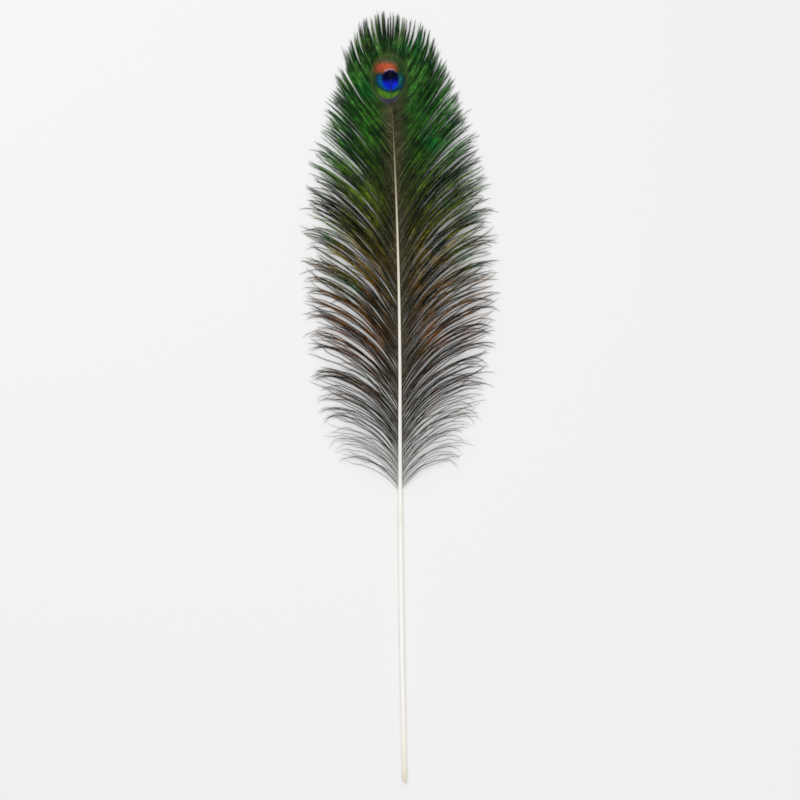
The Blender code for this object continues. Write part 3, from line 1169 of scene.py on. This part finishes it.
@dataclass
class Shaft:
    """The quill and the rachis above it, one tapering keratin rod with a groove underneath."""

    plan: FeatherPlan
    sides: int = 28
    rings: int = 64
    groove_half: float = 0.30
    groove_depth: float = 0.34
    scar_pitch: float = 0.0019
    scar_length: float = 0.00075
    scar_width: float = 0.00026
    first_scar: float = 0.075
    scar_gap: float = 0.001
    scar_shift: float = 0.0004
    # How far out and up a scar sits in half widths, its angle in degrees, its sizes and how evenly they stand
    scar_out: float = 0.97
    scar_up: float = 0.22
    scar_angles: tuple[float, float] = (14, 30)
    scar_sizes: tuple[tuple[float, float], ...] = ((0.8, 1.1), (0.6, 1.2), (0.8, 1.1))
    scar_steps: tuple[float, float] = (0.8, 1.2)
    scar_seed: int = 41

    def places(self) -> np.ndarray:
        """Sets out the rod's rings, close together at the quill's rounded end.

        Returns:
            How far along the feather each ring is.
        """
        plan = self.plan
        span = plan.shaft_end_y - plan.quill_y
        ends = plan.quill_y + span * np.array([0.0, 0.0012, 0.003, 0.006, 0.012, 0.02])
        return np.concatenate([ends, np.linspace(ends[-1], plan.shaft_end_y, self.rings)[1:]])

    def centre(self, y: float) -> Vector:
        """The rod's centre at y."""
        return Vector((float(self.plan.lean(y)), y, float(self.plan.centre_height(y))))

    def profile(self, y: float, half: float) -> bpy.types.Object:
        """Draws the rod's cross-section as a filled ring at its lower end.

        Args:
            y: Where it stands.
            half: Half its width.

        Returns:
            The new piece, in edit mode with the face selected.
        """
        deselect_all()
        centre = self.centre(y)
        bpy.ops.mesh.primitive_circle_add(
            vertices=self.sides, radius=half, fill_type="NGON", location=centre, rotation=(math.pi / 2, 0, 0)
        )
        piece = bpy.context.object
        piece.name = piece.data.name = "shaft"
        bpy.ops.object.transform_apply(location=True, rotation=True, scale=True)
        flat = centre.z - self.plan.underside * half
        bpy.ops.object.mode_set(mode="EDIT")
        below = flat + 0.02 * half
        select_points(piece, lambda place: place.z < below)
        bpy.ops.transform.resize(value=(1, 1, 0), center_override=(centre.x, centre.y, flat))
        groove = self.groove_half * half
        select_points(piece, lambda place: place.z < below and abs(place.x - centre.x) < groove)
        bpy.ops.transform.translate(value=(0, 0, self.groove_depth * half))
        bpy.ops.mesh.select_mode(type="FACE")
        bpy.ops.mesh.select_all(action="SELECT")
        return piece

    def rod(self) -> bpy.types.Object:
        """Extrudes the profile ring by ring, from the quill's end to past the eye.

        Returns:
            The new piece.
        """
        places = self.places()
        halves = [float(self.plan.half_width(y)) for y in places]
        piece = self.profile(float(places[0]), halves[0])
        for last, y, before, half in zip(places, places[1:], halves, halves[1:]):
            centre = self.centre(float(y))
            step = centre - self.centre(float(last))
            bpy.ops.mesh.extrude_region_move(TRANSFORM_OT_translate={"value": step})
            bpy.ops.transform.resize(value=(half / before,) * 3, center_override=centre)
        bpy.ops.mesh.select_all(action="SELECT")
        bpy.ops.mesh.normals_make_consistent(inside=False)
        bpy.ops.object.mode_set(mode="OBJECT")
        smooth = piece.modifiers.new("rounded", "SUBSURF")
        smooth.levels = smooth.render_levels = 1
        choose(piece)
        bpy.ops.object.modifier_apply(modifier=smooth.name)
        bpy.ops.object.shade_smooth_by_angle(angle=math.radians(50))
        return piece

    def scars(self) -> bpy.types.Object:
        """Models one stub of a stripped barb and sets copies of it along both sides of the bare shaft.

        Returns:
            The new piece.
        """
        deselect_all()
        bpy.ops.mesh.primitive_cone_add(
            vertices=6,
            radius1=self.scar_width,
            radius2=0.35 * self.scar_width,
            depth=self.scar_length,
            rotation=(-math.pi / 2, 0, 0),
        )
        stub = bpy.context.object
        bpy.ops.object.transform_apply(location=False, rotation=True, scale=True)
        random = np.random.default_rng(self.scar_seed)
        copies = []
        for side in Side:
            y = self.plan.quill_y + self.first_scar + self.scar_shift * side.value
            while y < self.plan.first_barb_y - self.scar_gap:
                half = float(self.plan.half_width(y))
                copy = stub.copy()
                copy.data = stub.data.copy()
                bpy.context.scene.collection.objects.link(copy)
                place = Vector((side.value * half * self.scar_out, 0, half * self.scar_up))
                copy.location = self.centre(y) + place
                copy.rotation_euler.z = -side.value * math.radians(random.uniform(*self.scar_angles))
                copy.scale = [random.uniform(*sizes) for sizes in self.scar_sizes]
                copies.append(copy)
                y += self.scar_pitch * random.uniform(*self.scar_steps)
        bpy.data.objects.remove(stub)
        deselect_all()
        for copy in copies:
            copy.select_set(True)
        bpy.context.view_layer.objects.active = copies[0]
        bpy.ops.object.join()
        piece = bpy.context.object
        piece.name = piece.data.name = "stripped_barb_stubs"
        bpy.ops.object.transform_apply(location=True, rotation=True, scale=True)
        return piece


@dataclass
class Studio:
    """The pale floor, the soft lights and the camera that looks straight down."""

    plan: FeatherPlan
    view_height: float = 0.836
    camera_height: float = 2.6
    sensor: float = 36.0
    floor_height: float = -0.0002
    # Each light's name, place, length of side and power in watts
    lamps: tuple = (
        ("key_light", (-1.1, 1.3, 2.2), 1.6, 24.0),
        ("fill_light", (1.0, -1.2, 2.6), 2.4, 22.0),
    )
    ambient: float = 0.60

    def floor(self) -> None:
        """Lays the floor just under the feather."""
        deselect_all()
        bpy.ops.mesh.primitive_plane_add(size=6.0, location=(0, 0, self.floor_height))
        plane = bpy.context.object
        plane.name = "floor"
        material, _, shader = new_material("pale_floor")
        shader["Base Color"].default_value = srgb(243, 243, 243)
        shader["Roughness"].default_value = 0.9
        shader["Specular IOR Level"].default_value = 0.1
        plane.data.materials.append(material)

    def light(self, name: str, place: tuple, size: float, power: float) -> None:
        """Adds a soft square light that points at the feather's middle.

        Args:
            name: The light's name.
            place: Where it hangs.
            size: The length of its side.
            power: Its power in watts.
        """
        data = bpy.data.lights.new(name, "AREA")
        data.size = size
        data.energy = power
        lamp = bpy.data.objects.new(name, data)
        lamp.location = place
        lamp.rotation_euler = (-Vector(place)).to_track_quat("-Z", "Y").to_euler()
        bpy.context.scene.collection.objects.link(lamp)

    def camera(self) -> None:
        """Hangs the camera over the feather's middle, with the eye at the picture's top."""
        data = bpy.data.cameras.new("camera")
        data.sensor_width = self.sensor
        data.lens = self.sensor * self.camera_height / self.view_height
        camera = bpy.data.objects.new("camera", data)
        camera.location = (0, (self.plan.tip_y + self.plan.quill_y) / 2, self.camera_height)
        bpy.context.scene.collection.objects.link(camera)
        bpy.context.scene.camera = camera

    def build(self) -> None:
        """Sets up all of it."""
        self.floor()
        for lamp in self.lamps:
            self.light(*lamp)
        world = bpy.data.worlds.new("soft_white")
        world.use_nodes = True
        sky = world.node_tree.nodes["Background"].inputs
        sky["Color"].default_value = (1, 1, 1, 1)
        sky["Strength"].default_value = self.ambient
        bpy.context.scene.world = world
        bpy.context.scene.view_settings.view_transform = "Standard"
        self.camera()


def main() -> None:
    """Builds the feather piece by piece and sets up the studio round it."""
    logging.basicConfig(level=logging.INFO, format="%(name)s: %(message)s")
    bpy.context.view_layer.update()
    plan = FeatherPlan.from_frame()
    shape = BarbShape()
    Studio(plan).build()

    eye = EyePattern(centre=(float(plan.lean(plan.eye_y)), plan.eye_y)).group()
    shaft = Shaft(plan)
    dress(shaft.rod(), ShaftFinish().material(plan, eye))
    dried = ShaftFinish(name="dried_stub_keratin", tones=stops((0.0, 200, 184, 146), (1.0, 128, 110, 80)))
    dress(shaft.scars(), dried.material(plan, eye))

    colours = BarbColours().group(plan)
    loose = KeratinFinish("loose_barb_keratin", 0.50, 0.08, 0.12).material(colours, eye)
    knit = KeratinFinish("eye_barb_keratin", 0.46, 0.12, 0.10).material(colours, eye)
    sides = {side: Barbs(plan, shape, side, seed=11 + side.value) for side in Side}
    names = ("lower_barbs", "middle_barbs", "upper_barbs", "eye_barbs")
    for barbs in sides.values():
        for piece in barbs.pieces((0.0, 0.34, 0.62, 0.83, 1.1), names):
            near_eye = piece.name.endswith("eye_barbs")
            dress(piece, knit if near_eye else loose)
    web = KnitWeb(shape, sides[Side.LEFT], sides[Side.RIGHT])
    dress(web.piece(), knit)


if __name__ == "__main__":
    main()
